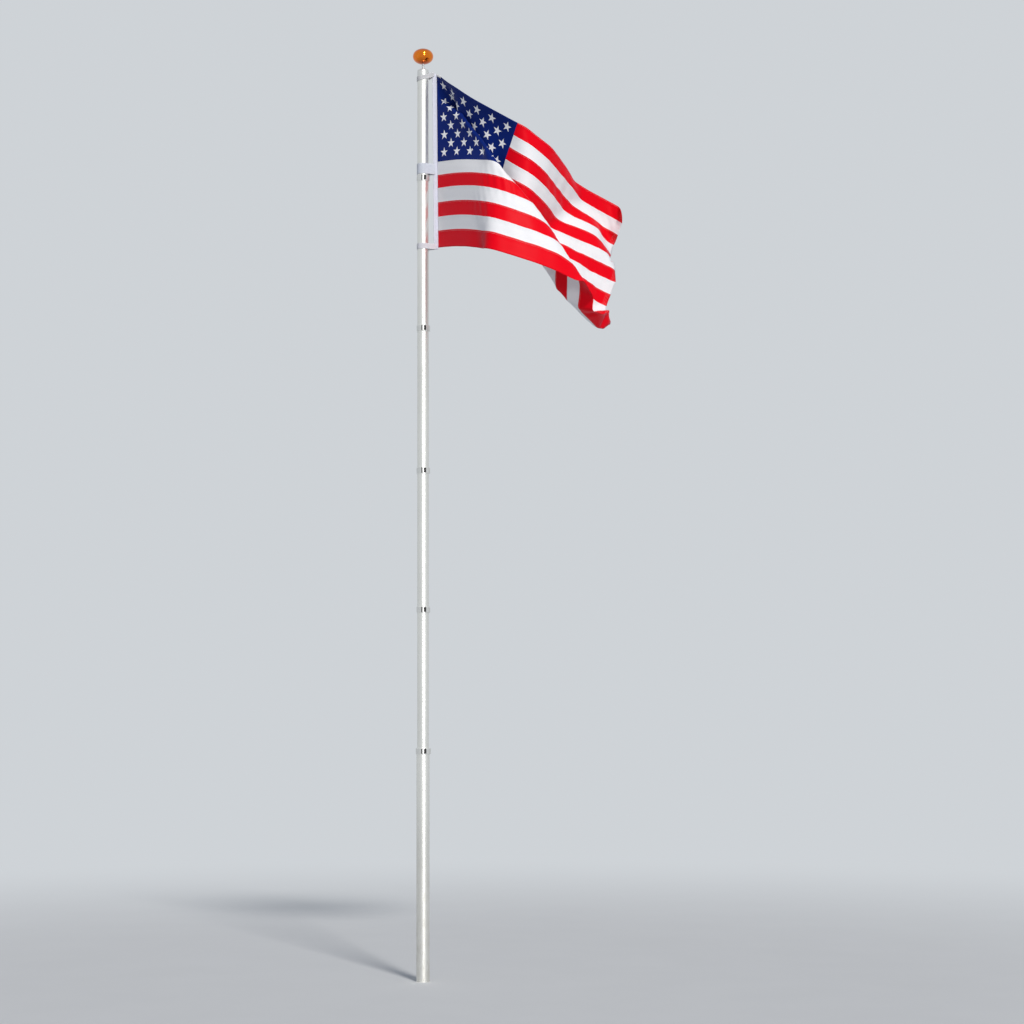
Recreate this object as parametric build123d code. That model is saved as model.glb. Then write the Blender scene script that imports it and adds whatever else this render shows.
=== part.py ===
from build123d import *
from math import atan, cos, degrees, radians, sqrt, tan
import os

# Sectional aluminium flagpole with a ball finial and a flag held by three webbing straps.
# The origin is the middle of the pole's foot, +Z is up and the front is -Y. Millimetres.

# Tubes
butt_od = 65.0
butt_wall = 4.0
butt_height = 1134.0
tube_od = 58.0
tube_wall = 2.0
second_length = 686.0
third_length = 695.0
fourth_length = 717.0
fifth_length = 767.0
sixth_length = 527.0
socket_depth = 150.0
spigot_length = 140.0
swage_height = 12.0
tube_fit = 0.25
tube_lead = 2.0

# Joint collars
collar_height = 29.0
collar_wall = 3.0
collar_fit = 0.1
collar_chamfer = 0.8
collar_lip = 3.0
collar_slot = 5.0
slot_turn = -8.5
saddle_wall = 3.0
saddle_from = 2.0
saddle_to = 98.0
saddle_chamfer = 1.2

# Latches
latch_width = 12.0
latch_height = 24.0
latch_turn = 19.0
latch_depth = 4.4
latch_proud = 1.0
latch_groove = 3.0
latch_groove_depth = 0.8
latch_fit = 0.3
latch_chamfer = 1.0
pin_diameter = 2.5
pin_fit = 0.05
pin_end = 1.0

# Cap and finial
cap_skirt = 31.0
cap_cone = 9.0
cap_over = 0.3
cap_plug = 45.0
cap_plug_wall = 4.0
cap_boss_diameter = 18.0
stem_diameter = 12.0
stem_height = 24.0
stem_seat = 24.0
stem_fit = 0.1
ball_diameter = 104.0
ball_height = 79.0
ball_wall = 1.5
ball_crown_drop = 28.0

# Straps and heading
strap_fit = 0.3
strap_thickness = 2.0
strap_lap = 9.0
top_strap_height = 26.0
top_strap_slope = 21.0
top_strap_drop = 12.0
middle_strap_height = 54.0
middle_strap_gap = 5.5
bottom_strap_height = 28.0
heading_width = 22.0
heading_thickness = 2.6
heading_top_x = 47.0
heading_rise = 23.0
heading_length = 914.0
heading_lean = 8.0
cloth_gap = 0.6
patch_length = 46.0
patch_width = 12.0
patch_thickness = 4.0
patch_slope = 33.0

# Flag
flag_fly = 1500.0
cloth_thickness = 3.0
cloth_tolerance = 2.0
cloth_trim = 4.0
steps_across = 4
steps_down = 3

# How the cloth hangs, in thousandths of the fly's length from its top hoist corner: right, to the front, down.
# Each line runs down the cloth from the top edge over four seams to the bottom edge, from the hoist to the fly hem.
hoist_levels = [0, 127, 256, 389, 488, 593]
front_swell = [(50, 80, 55), (35, 50, 135), (90, 90, 275), (125, 185, 430), (150, 250, 540), (170, 280, 655)]
front_shoulder = [(85, 120, 90), (75, 70, 150), (145, 160, 295), (255, 270, 480), (385, 255, 620), (460, 245, 760)]
front_fold = [(110, 140, 115), (110, 80, 165), (170, 200, 305), (310, 260, 505), (425, 215, 655), (505, 205, 770)]
under_fold = [(145, 165, 145), (115, 80, 185), (190, 195, 335), (320, 245, 530), (430, 200, 675), (510, 205, 790)]
middle_hang = [(185, 185, 170), (110, 85, 200), (200, 190, 390), (345, 195, 590), (430, 170, 725), (515, 195, 815)]
back_shoulder = [(225, 205, 200), (100, 100, 225), (200, 185, 450), (350, 165, 650), (430, 150, 770), (515, 185, 845)]
back_fold = [(280, 230, 235), (160, 110, 275), (225, 180, 490), (355, 135, 690), (440, 125, 800), (535, 165, 845)]
rear_start = [(370, 140, 275), (265, 175, 355), (300, 145, 540), (405, 95, 715), (475, 100, 820), (555, 145, 840)]
rear_middle = [(440, -5, 330), (385, 90, 435), (395, 45, 585), (465, 50, 745), (505, 75, 835), (565, 120, 825)]
rear_swell = [(535, -105, 385), (485, -35, 490), (510, -5, 625), (520, 15, 765), (530, 45, 855), (575, 95, 815)]
fly_hem = [(625, -75, 455), (600, -135, 560), (600, -65, 660), (570, -25, 790), (570, 30, 860), (565, 70, 820)]

# Heights and radii that follow from them
butt_r = butt_od / 2
tube_r = tube_od / 2
tube_bore_r = tube_r - tube_wall
socket_r = tube_r + tube_fit
spigot_r = tube_bore_r - tube_fit
second_base = butt_height - socket_depth
joint_heights = [butt_height]
for section in (second_length, third_length, fourth_length, fifth_length, sixth_length):
    joint_heights.append(joint_heights[-1] + section)
rim_z = joint_heights[-1]
cap_top_z = rim_z + cap_skirt + cap_cone
top_strap_z = rim_z - top_strap_drop
heading_top_z = rim_z + heading_rise


def turned(outline):
    """A solid of revolution about the pole's axis from (radius, height) points."""
    return revolve(Plane.XZ * make_face(Polyline(*outline, close=True)), Axis.Z)


def facing(turn):
    """Frame on the pole's axis whose +X points out at this angle from the front, towards +X."""
    return Rot(0, 0, turn - 90)


def write(shape, name):
    shape.label = name
    export_step(shape, "parts/" + name + ".step")


# Pole tubes, from the ground up
def butt_tube():
    bore_r = butt_r - butt_wall
    return turned([
        (bore_r, 0),
        (butt_r, 0),
        (butt_r, butt_height),
        (socket_r, butt_height),
        (socket_r, second_base),
        (bore_r, second_base),
    ])


def plain_tube(base, top):
    return turned([(tube_bore_r, base), (tube_r, base), (tube_r, top), (tube_bore_r, top)])


def swaged_tube(base, top):
    """A tube whose lower end is drawn down to a spigot that seats in the tube below."""
    nose_z = base - spigot_length
    spigot_bore_r = spigot_r - tube_wall
    return turned([
        (spigot_bore_r, nose_z),
        (spigot_r - tube_lead / 2, nose_z),
        (spigot_r, nose_z + tube_lead),
        (spigot_r, base),
        (tube_r, base),
        (tube_r, top),
        (tube_bore_r, top),
        (tube_bore_r, base + swage_height),
        (spigot_bore_r, base),
    ])


# Split collars that clamp the tube joints
def collar_ring(bore_r, low, high):
    outer_r = bore_r + collar_wall
    return turned([
        (bore_r, low),
        (outer_r - collar_chamfer, low),
        (outer_r, low + collar_chamfer),
        (outer_r, high - collar_chamfer),
        (outer_r - collar_chamfer, high),
        (bore_r, high),
    ])


def collar_saddle(bore_r, low, high):
    """The thick part of the band, which houses the latch."""
    inner_r = bore_r + collar_wall / 2
    outer_r = bore_r + collar_wall + saddle_wall
    outline = make_face(Polyline(
        (inner_r, low),
        (outer_r - saddle_chamfer, low),
        (outer_r, low + saddle_chamfer),
        (outer_r, high - saddle_chamfer),
        (outer_r - saddle_chamfer, high),
        (inner_r, high),
        close=True,
    ))
    sector = revolve(Plane.XZ * outline, Axis.Z, revolution_arc=saddle_to - saddle_from)
    return facing(saddle_from) * sector


def latch_face(bore_r):
    """Distance from the axis to the middle of the latch's outer face."""
    return bore_r + collar_wall + saddle_wall + latch_proud


def pin_place(bore_r):
    """Where the pivot pin stands, in the latch's own frame."""
    return (latch_face(bore_r) - latch_depth / 2 - latch_proud / 2, latch_width / 2 - pin_diameter)


def collar(bore_r, low, high):
    middle = (low + high) / 2
    band = collar_ring(bore_r, low, high) + collar_saddle(bore_r, low, high)
    slot = Pos(bore_r + collar_wall / 2, 0, middle) * Box(
        4 * collar_wall, collar_slot, 2 * collar_height
    )
    band -= facing(slot_turn) * slot
    floor_r = latch_face(bore_r) - latch_depth - latch_fit
    pocket = Pos(floor_r + latch_depth, 0, middle) * Box(
        2 * latch_depth, latch_width + 2 * latch_fit, latch_height + 2 * latch_fit
    )
    band -= facing(latch_turn) * pocket
    pin_x, pin_y = pin_place(bore_r)
    hole = Pos(pin_x, pin_y, middle) * Cylinder(
        pin_diameter / 2 + pin_fit, collar_height - 2 * pin_end + 2 * pin_fit
    )
    return band - facing(latch_turn) * hole


def tube_lip(bore_r, low, high):
    """The inward lip of the lowest collar, which closes the step from the butt tube to the next."""
    inner_r = tube_r + collar_fit
    outer_r = bore_r + collar_chamfer
    return turned([(inner_r, low), (outer_r, low), (outer_r, high), (inner_r, high)])


def latch(bore_r, middle):
    face_r = latch_face(bore_r)
    crown = face_r - latch_proud
    outline = make_face(
        Polyline(
            (crown, latch_width / 2),
            (face_r - latch_depth, latch_width / 2),
            (face_r - latch_depth, -latch_width / 2),
            (crown, -latch_width / 2),
        )
        + ThreePointArc((crown, -latch_width / 2), (face_r, 0), (crown, latch_width / 2))
    )
    body = extrude(Pos(0, 0, middle) * outline, latch_height / 2, both=True)
    body = chamfer(body.faces().sort_by(Axis.Z)[-1].edges().filter_by(GeomType.CIRCLE), latch_chamfer)
    body = chamfer(body.faces().sort_by(Axis.Z)[0].edges().filter_by(GeomType.CIRCLE), latch_chamfer)
    groove = Pos(face_r, 0, middle) * Box(2 * latch_groove_depth, 2 * latch_width, latch_groove)
    pin_x, pin_y = pin_place(bore_r)
    hole = Pos(pin_x, pin_y, middle) * Cylinder(pin_diameter / 2 + pin_fit, 2 * latch_height)
    return facing(latch_turn) * (body - groove - hole)


def latch_pin(bore_r, middle):
    pin_x, pin_y = pin_place(bore_r)
    pin = Cylinder(pin_diameter / 2, collar_height - 2 * pin_end)
    return facing(latch_turn) * Pos(pin_x, pin_y, middle) * pin


# Cap, stem and ball
def pole_cap():
    cap_r = tube_r + cap_over
    plug_r = tube_bore_r - tube_fit
    skirt_top = rim_z + cap_skirt
    bore_r = stem_diameter / 2 + stem_fit
    seat_z = cap_top_z - stem_seat
    return turned([
        (0, rim_z - cap_plug + cap_plug_wall),
        (0, seat_z),
        (bore_r, seat_z),
        (bore_r, cap_top_z),
        (cap_boss_diameter / 2, cap_top_z),
        (cap_r - collar_chamfer, skirt_top),
        (cap_r, skirt_top - collar_chamfer),
        (cap_r, rim_z),
        (plug_r, rim_z),
        (plug_r, rim_z - cap_plug),
        (plug_r - cap_plug_wall, rim_z - cap_plug),
        (plug_r - cap_plug_wall, rim_z - cap_plug + cap_plug_wall),
    ])


ball_base_z = cap_top_z + stem_height
ball_middle_z = ball_base_z + ball_height / 2
ball_socket = stem_seat


def finial_stem():
    low = cap_top_z - stem_seat
    high = ball_base_z + ball_socket - ball_wall
    r = stem_diameter / 2
    return turned([(0, low), (r, low), (r, high - tube_lead / 2), (r - tube_lead / 2, high), (0, high)])


def arc_about(centre, start, end):
    """The shorter arc about a centre from one point to another at the same distance."""
    middle = Vector(*centre)
    reach = (Vector(*start) - middle).length
    outwards = (Vector(*start) - middle).normalized() + (Vector(*end) - middle).normalized()
    return ThreePointArc(start, middle + outwards.normalized() * reach, end)


def finial_ball():
    """A spun hollow ball, an oval of four arcs in section, with a blind socket for the stem."""
    half_height = ball_height / 2
    flattening = ball_diameter / 2 - half_height
    drop = ball_crown_drop
    side_x = flattening * (2 * drop - flattening) / (2 * (drop - flattening))
    crown_r = half_height + drop
    side_r = ball_diameter / 2 - side_x
    join = Vector(side_x, drop).normalized()
    bore_r = stem_diameter / 2 + stem_fit
    socket_r = bore_r + ball_wall
    shut_z = ball_socket - half_height

    def oval(inset, start_r):
        crown = crown_r - inset
        low = (start_r, drop - sqrt(crown**2 - start_r**2))
        low_join = (side_x + join.X * (side_r - inset), -join.Y * (side_r - inset))
        high_join = (low_join[0], -low_join[1])
        lower = arc_about((0, drop), low, low_join)
        side = arc_about((side_x, 0), low_join, high_join)
        upper = arc_about((0, -drop), high_join, (0, half_height - inset))
        return lower + side + upper, low

    outer, mouth = oval(0, bore_r)
    inner, root = oval(ball_wall, socket_r)
    socket = Polyline(
        root, (socket_r, shut_z + ball_wall), (0, shut_z + ball_wall), (0, shut_z), (bore_r, shut_z), mouth
    )
    top = Line((0, half_height), (0, half_height - ball_wall))
    section = make_face(outer + top + inner + socket)
    return Pos(0, 0, ball_middle_z) * revolve(Plane.XZ * section, Axis.Z)


# Straps that hold the flag to the pole
heading_half = heading_thickness / 2
strap_gap = heading_half + strap_fit
strap_end_x = heading_top_x + strap_lap


def strap(bore_r, end_x, low, high):
    """Webbing that goes round the pole and ends as two plies, one each side of the heading."""
    inner = make_hull(
        (Circle(bore_r) + Pos(end_x, 0) * Circle(strap_gap)).edges()
    )
    outer = make_hull(
        (Circle(bore_r + strap_thickness) + Pos(end_x, 0) * Circle(strap_gap + strap_thickness)).edges()
    )
    loop = extrude(Pos(0, 0, low) * (outer - inner), high - low)
    beyond = Pos(end_x + bore_r, 0, (low + high) / 2) * Box(2 * bore_r, 4 * bore_r, 2 * (high - low))
    return loop - beyond


def top_strap():
    """The top strap climbs from the pole to the flag's corner, so its edges are sloping cuts."""
    bore_r = tube_r + cap_over + strap_fit
    tall = strap(bore_r, strap_end_x, top_strap_z - 4 * top_strap_height, top_strap_z + 4 * top_strap_height)
    slab = Box(8 * bore_r, 8 * bore_r, top_strap_height)
    return tall & (Pos(0, 0, top_strap_z) * Rot(0, -top_strap_slope, 0) * slab)


heading_tilt = degrees(atan(heading_lean / heading_length))


def heading_x(z):
    """Left edge of the heading at this height: it leans out a little towards its foot."""
    return heading_top_x + heading_lean * (heading_top_z - z) / heading_length


heading_bottom_z = heading_top_z - heading_length


def heading():
    left_low = heading_x(heading_bottom_z)
    outline = make_face(Polyline(
        (heading_top_x, heading_top_z),
        (left_low, heading_bottom_z),
        (left_low + heading_width, heading_bottom_z),
        (heading_top_x + heading_width, heading_top_z - heading_width * tan(radians(patch_slope))),
        close=True,
    ))
    return extrude(Plane.XZ * outline, heading_half, both=True)


def corner_patch():
    """Webbing folded over the flag's top corner, along the start of its top edge."""
    start_x = strap_end_x + strap_fit + patch_width
    start_z = heading_top_z - (start_x - heading_top_x) * tan(radians(patch_slope))
    place = Pos(start_x, 0, start_z + strap_fit / cos(radians(patch_slope))) * Rot(0, patch_slope, 0)
    return place * Pos(patch_length / 2, 0, patch_width / 2) * Box(
        patch_length, patch_thickness, patch_width
    )


# The flag's cloth, one thin sheet with a deep pleat that starts at the top corner
def eased(places, parts):
    """A smooth run of places through these ones, with this many steps between each two."""
    ends = [places[0] * 2 - places[1], *places, places[-1] * 2 - places[-2]]
    run = []
    for before, start, end, after in zip(ends, ends[1:], ends[2:], ends[3:]):
        span = (end - start).length
        leaving = (end - before).normalized() * span
        arriving = (after - start).normalized() * span
        for step in range(parts):
            t = step / parts
            run.append(
                start * (2 * t**3 - 3 * t**2 + 1) + leaving * (t**3 - 2 * t**2 + t)
                + end * (3 * t**2 - 2 * t**3) + arriving * (t**3 - t**2)
            )
    return run + [places[-1]]


def ply(grid, offset):
    """One side of the cloth, this far to the front of the grid's places."""
    last_line, last_place = len(grid) - 1, len(grid[0]) - 1
    side = []
    for i, line in enumerate(grid):
        side.append([])
        for j, spot in enumerate(line):
            across = grid[min(i + 1, last_line)][j] - grid[max(i - 1, 0)][j]
            down = line[min(j + 1, last_place)] - line[max(j - 1, 0)]
            side[-1].append(spot + down.cross(across).normalized() * offset)
    return Face.make_surface_from_array_of_points(side, tol=cloth_tolerance)


def flag_cloth():
    corner_z = heading_top_z - heading_width * tan(radians(patch_slope))
    thousandth = flag_fly / 1000

    def place(right, front, down):
        z = corner_z - down * thousandth
        return Vector(heading_x(z) + heading_width + cloth_gap + right * thousandth, -front * thousandth, z)

    folds = [[place(-cloth_trim / thousandth, 0, level) for level in hoist_levels]]
    for fold in (
        front_swell, front_shoulder, front_fold, under_fold, middle_hang, back_shoulder,
        back_fold, rear_start, rear_middle, rear_swell, fly_hem,
    ):
        folds.append([place(*spot) for spot in fold])
    levels = [eased(list(level), steps_across) for level in zip(*folds)]
    grid = [eased(list(line), steps_down) for line in zip(*levels)]
    front = ply(grid, cloth_thickness / 2)
    back = ply(grid, -cloth_thickness / 2)
    hems = [
        Face.make_surface_from_curves(edge, facing_edge)
        for edge, facing_edge in zip(front.edges(), back.edges())
    ]
    # The hoist edge is cut straight, beside the heading
    left_of_edge = Pos(-heading_length / 2, 0, 0) * Box(heading_length, heading_width, 2 * heading_length)
    edge_z = heading_top_z - heading_length / 2
    edge = Pos(heading_x(edge_z) + heading_width + cloth_gap, 0, edge_z) * Rot(0, -heading_tilt, 0)
    return Solid(Shell([front, back, *hems])) - edge * left_of_edge


# Write every piece
write(butt_tube(), "butt_tube")
write(plain_tube(second_base, joint_heights[1]), "second_tube")
upper_names = ["third_tube", "fourth_tube", "fifth_tube", "sixth_tube"]
for name, base, top in zip(upper_names, joint_heights[1:-1], joint_heights[2:]):
    write(swaged_tube(base, top), name)

ordinals = ["first", "second", "third", "fourth", "fifth"]
for order, ordinal in enumerate(ordinals):
    joint = joint_heights[order]
    if order == 0:
        bore_r = butt_r + collar_fit
        low = joint + collar_lip - collar_height
    else:
        bore_r = tube_r + collar_fit
        low = joint - collar_height / 2
    high = low + collar_height
    body = collar(bore_r, low, high)
    if order == 0:
        body += tube_lip(bore_r, joint, high)
    write(body, ordinal + "_collar")
    write(latch(bore_r, (low + high) / 2), ordinal + "_latch")
    write(latch_pin(bore_r, (low + high) / 2), ordinal + "_latch_pin")

write(pole_cap(), "pole_cap")
write(finial_stem(), "finial_stem")
write(finial_ball(), "finial_ball")

strap_bore_r = tube_r + strap_fit
middle_strap_low = joint_heights[4] + collar_height / 2 + middle_strap_gap
middle_strap_high = middle_strap_low + middle_strap_height
bottom_strap_high = heading_bottom_z + bottom_strap_height
write(top_strap(), "top_strap")
write(
    strap(strap_bore_r, heading_x(middle_strap_low) + strap_lap, middle_strap_low, middle_strap_high),
    "middle_strap",
)
write(
    strap(strap_bore_r, heading_x(heading_bottom_z) + strap_lap, heading_bottom_z, bottom_strap_high),
    "bottom_strap",
)
write(heading(), "heading")
write(corner_patch(), "corner_patch")
write(flag_cloth(), "flag_cloth")
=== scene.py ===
from math import atan, cos, pi, radians, sin, tan

import bmesh
import bpy
import numpy as np
from mathutils import Matrix, Vector


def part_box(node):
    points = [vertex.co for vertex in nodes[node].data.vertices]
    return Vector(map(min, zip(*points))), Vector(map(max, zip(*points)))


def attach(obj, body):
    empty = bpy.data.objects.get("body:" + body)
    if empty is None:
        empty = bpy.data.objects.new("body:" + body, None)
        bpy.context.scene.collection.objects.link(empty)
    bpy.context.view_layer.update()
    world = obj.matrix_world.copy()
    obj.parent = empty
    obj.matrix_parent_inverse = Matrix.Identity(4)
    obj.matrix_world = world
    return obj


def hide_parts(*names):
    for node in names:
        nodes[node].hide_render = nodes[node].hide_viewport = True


# Sectional aluminium flagpole with a copper ball, three webbing straps and a striped flag.
# Metres, on the same axes as the solids: the origin is the middle of the pole's foot, +Z up, front -Y.
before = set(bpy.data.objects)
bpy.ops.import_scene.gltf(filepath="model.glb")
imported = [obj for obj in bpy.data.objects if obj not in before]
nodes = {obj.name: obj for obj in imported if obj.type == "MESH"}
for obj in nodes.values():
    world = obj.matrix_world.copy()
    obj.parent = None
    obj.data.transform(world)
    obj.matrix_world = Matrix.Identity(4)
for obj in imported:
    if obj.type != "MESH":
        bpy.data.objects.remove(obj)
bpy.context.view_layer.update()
collars = [name for name in nodes if name.endswith("_collar")]


def mm(value):
    return value / 1000


# A pixel's size at the pole, where the pole's foot is seen, and the eye that sees it
metres_per_pixel = 0.005
pole_column = 423.1
ground_row = 977.9
eye = np.array([0.445, -11.0, 1.33])

# The flag's seams as they hang, from the top edge down: share of the fly's length, column, row,
# and reach to the front in pixels
seams = [
    [(0, 437.5, 71, 0), (.1, 458, 86, 20), (.2, 478, 99, 37), (.3, 499, 110.5, 54), (.4, 520, 122.8, 70),
     (.538, 550, 143.5, 50), (.63, 561, 157, 24), (.72, 571, 172, -2), (.798, 577.5, 183, -12),
     (.9, 599, 194, -14), (.97, 617, 203.5, -12), (1, 623, 212, -12)],
    [(0, 437.5, 84, 0), (.1, 455, 97, 18), (.2, 475, 108, 35), (.3, 496, 120.5, 52), (.4, 515, 133, 68),
     (.547, 546, 155, 46), (.66, 561, 172, 20), (.77, 575, 188.5, -8), (.853, 583, 201, -22),
     (.93, 601, 213, -22), (1, 624, 224.5, -22)],
    [(0, 437.5, 96.5, 0), (.06, 449, 102, 12), (.11, 452, 108, 9), (.2, 470, 119, 27), (.3, 490, 132, 45),
     (.4, 510.5, 145, 62), (.48, 530, 158, 50), (.567, 545, 170, 36), (.67, 557, 186, 12),
     (.783, 570, 202.5, -12), (.907, 596, 221, -28), (.953, 605, 228, -34), (1, 620, 238.5, -32)],
    [(0, 437.5, 109, 0), (.095, 455, 113, 20), (.15, 458, 122, 15), (.26, 479, 137, 32),
     (.4, 505.5, 156.5, 52), (.5, 525, 168.5, 40), (.587, 545, 184.5, 26), (.68, 556, 198, 4),
     (.787, 570, 214.5, -18), (.9, 600, 230, -22), (.953, 604, 238, -32), (1, 615.5, 247, -36)],
    [(0, 437.5, 122, 0), (.07, 449, 119, 12), (.145, 466, 123, 28), (.26, 468, 155, 19),
     (.38, 495, 168, 34), (.505, 523, 184, 32), (.595, 540, 197.5, 16), (.67, 550, 208, 0),
     (.748, 560, 220.5, -16), (.857, 590, 233, -18), (.916, 600, 240.5, -27), (1, 612.5, 257, -38)],
    [(0, 437.5, 135, 0), (.1, 457, 132, 20), (.197, 477, 136, 39), (.36, 480, 182, 25), (.48, 506, 200, 26),
     (.6, 530, 214, 10), (.72, 553, 228, -14), (.785, 570, 237.5, -15), (.857, 590, 245.5, -16),
     (.93, 606, 252, -18), (1, 612.5, 262, -34)],
    [(0, 437.5, 148, 0), (.1, 457, 146, 20), (.2, 477, 147, 38), (.26, 490, 152, 50), (.47, 492, 211, 32),
     (.6, 522, 230, 20), (.8, 566, 250, -8), (.885, 590, 258.5, -10), (1, 615.5, 271, -26)],
    [(0, 437.5, 161, 0), (.1, 455, 158.7, 26), (.2, 475, 158, 47), (.26, 489, 160.5, 58),
     (.31, 503, 166, 64), (.34, 505, 175, 60), (.56, 505, 236, 44), (.7, 538, 254, 26), (.855, 577, 269, 0),
     (.92, 594, 276.5, -5), (1, 619, 285, -10)],
    [(0, 437.5, 174.6, 0), (.1, 455, 171.5, 26), (.2, 473, 171.3, 48), (.3, 496, 175, 66),
     (.40, 520, 183.5, 70), (.43, 522, 193, 67), (.62, 523, 250, 54), (.76, 555, 270, 34),
     (.91, 587, 287, 8), (1, 612, 298, 0)],
    [(0, 437.5, 188, 0), (.12, 456, 185.3, 34), (.23, 476, 185.7, 60), (.34, 504, 191, 80),
     (.42, 524, 198, 86), (.475, 537, 204.5, 84), (.50, 539, 213, 80), (.70, 543, 268, 62),
     (.84, 573, 289, 44), (.955, 595, 304.5, 24), (1, 608, 310, 18)],
    [(0, 437.5, 202.6, 0), (.1, 454.7, 200.4, 24), (.2, 471.3, 200.4, 49), (.3, 488, 202.7, 74),
     (.39, 512, 209.5, 86), (.5, 541, 220.5, 86), (.54, 551, 229, 83), (.585, 559, 241, 78),
     (.61, 559, 249, 74), (.77, 555, 293, 54), (.9, 584, 305, 34), (.955, 597, 313, 22),
     (1, 608, 314.5, 12)],
    [(0, 437.5, 217.5, 0), (.1, 455, 215, 24), (.2, 472, 215.3, 49), (.3, 489, 218.3, 74),
     (.4, 514, 225, 88), (.52, 549, 237.5, 90), (.56, 560, 243.5, 86), (.605, 568, 254, 80),
     (.64, 569, 261, 76), (.795, 567, 303, 58), (.91, 590, 313, 40), (1, 606, 320.5, 18)],
    [(0, 437.5, 231.5, 0), (.1, 455.2, 229.7, 24), (.2, 472.5, 230.2, 49), (.3, 489.6, 233.4, 74),
     (.42, 516, 240.4, 91), (.55, 550, 251, 91), (.61, 569, 261.5, 86), (.67, 584, 280, 79),
     (.70, 583, 287, 74), (.80, 579, 310, 62), (.89, 594.5, 324, 48), (.94, 601, 328, 38),
     (1, 606.5, 327.5, 24)],
    [(0, 437.5, 249, 0), (.1, 455.3, 248.5, 24), (.2, 472.4, 249, 49), (.3, 489.5, 251.8, 74),
     (.42, 516, 258.4, 92), (.56, 550, 270.5, 92), (.64, 575, 282.3, 88), (.69, 590, 291, 82),
     (.74, 594, 299, 74), (.80, 594.3, 309, 64), (.86, 596, 314.5, 52), (.93, 602.3, 317, 36),
     (1, 608.5, 315.4, 26)],
]
# Where each seam turns under the front fold, where it turns back, and where it comes out to the right
front_fold = {
    2: .06, 3: .095, 4: .145, 5: .197, 6: .26, 7: .31, 8: .40, 9: .475, 10: .585, 11: .605, 12: .67, 13: .69,
}
back_fold = {2: .11, 3: .17, 4: .265, 5: .36, 6: .47, 7: .56, 8: .62, 9: .70, 10: .77, 11: .795, 12: .80}
last_back_fold, past_fly = 12, 1.01
comes_out = [0, .4, .4, .4, .525, .74, .82, .875, .93, .955, .955]
# The lower corner turns up again along this line: share of the fly's length, seam. Then where it is seen
corner_fold = [(.80, 12.1), (.89, 12.2), (.94, 12.25), (1, 12.3)]
corner_places = [(.89, 12.2, 594.5, 324), (.94, 12.25, 601, 328.5), (1, 12.3, 609.5, 328.5)]
# Where the edge of the front fold is seen, and where the back fold is
fold_line = [(449, 92), (465, 117), (490, 150), (503, 166), (510, 171), (522, 183), (533, 200), (545, 217),
             (553, 228), (560, 242), (570, 257), (580, 273), (590, 290)]
back_fold_places = {9: (543, 268), 10: (555, 294), 11: (567, 304), 12: (579, 310)}
# Where the straight slant from the hoist has got to: seam, share of the fly's length, column, reach
slant_ends = [(8, .2, 473, 50), (9, .2, 471.5, 50), (10, .3, 487, 76), (11, .3, 486.5, 77),
              (12, .3, 485.5, 78), (13, .3, 485, 78)]
# Stars that show whole: row and place in the canton, column, row
stars = [(1, 1, 440.5, 84.5), (1, 3, 452, 91.5), (1, 5, 465, 101), (1, 7, 479, 109), (1, 9, 494, 117),
         (1, 11, 509, 125.5), (2, 4, 456, 100), (2, 6, 469.5, 111.5), (2, 8, 483, 119.5),
         (2, 10, 498, 128.5), (3, 1, 444.5, 98.5), (3, 5, 460, 111), (3, 7, 473.5, 122), (3, 9, 487, 132),
         (3, 11, 503, 141), (4, 2, 450.5, 106.5), (4, 8, 478, 134), (4, 10, 492, 144.5),
         (5, 11, 497.5, 157), (5, 1, 445, 115), (5, 3, 456.5, 115), (6, 2, 452, 123.5), (6, 4, 463.5, 123),
         (7, 1, 445.3, 132), (7, 3, 458.8, 132), (7, 5, 472, 132.5), (8, 2, 451.5, 141), (8, 4, 465.5, 141),
         (8, 6, 479, 142), (9, 1, 445.5, 150), (9, 3, 457.5, 149), (9, 5, 472.5, 149.5),
         (9, 7, 487.5, 152.5)]
fly, hoist = 1.5, 0.9
stripes = 13
lowest_stripe = 1.27
canton_fly = 0.4
canton_stripes = 7
star_columns, star_rows = 12, 10
# The cloth's hoist edge: its X and its height at the top, and its lean
hoist_line = (0.0696, 4.549, 0.008 / 0.914)


def sight(column, row, y):
    """The place at this depth that is seen at a column and row."""
    across, up = (column - pole_column) * metres_per_pixel, (ground_row - row) * metres_per_pixel
    return eye + (1 - y / eye[1]) * (np.array([across, 0.0, up]) - eye)


def seen(points):
    """Column and row of each point."""
    away = points - eye
    on_plane = eye + away * (-eye[1] / away[..., 1:2])
    return np.stack([
        on_plane[..., 0] / metres_per_pixel + pole_column, ground_row - on_plane[..., 2] / metres_per_pixel
    ], -1)


def hanging_start(across, down):
    """First places of the cloth, straight between the seams' places."""
    share = np.linspace(0, 1, across + 1)
    lines = []
    for seam in seams:
        known = np.array(seam, float)
        column, row, reach = [np.interp(share, known[:, 0], known[:, part]) for part in (1, 2, 3)]
        lines.append([sight(c, r, -d * metres_per_pixel) for c, r, d in zip(column, row, reach)])
    lines = np.array(lines)
    level = np.linspace(0, stripes, down + 1)
    above = np.minimum(level.astype(int), stripes - 1)
    part = (level - above)[:, None, None]
    return lines[above] * (1 - part) + lines[above + 1] * part


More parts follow.
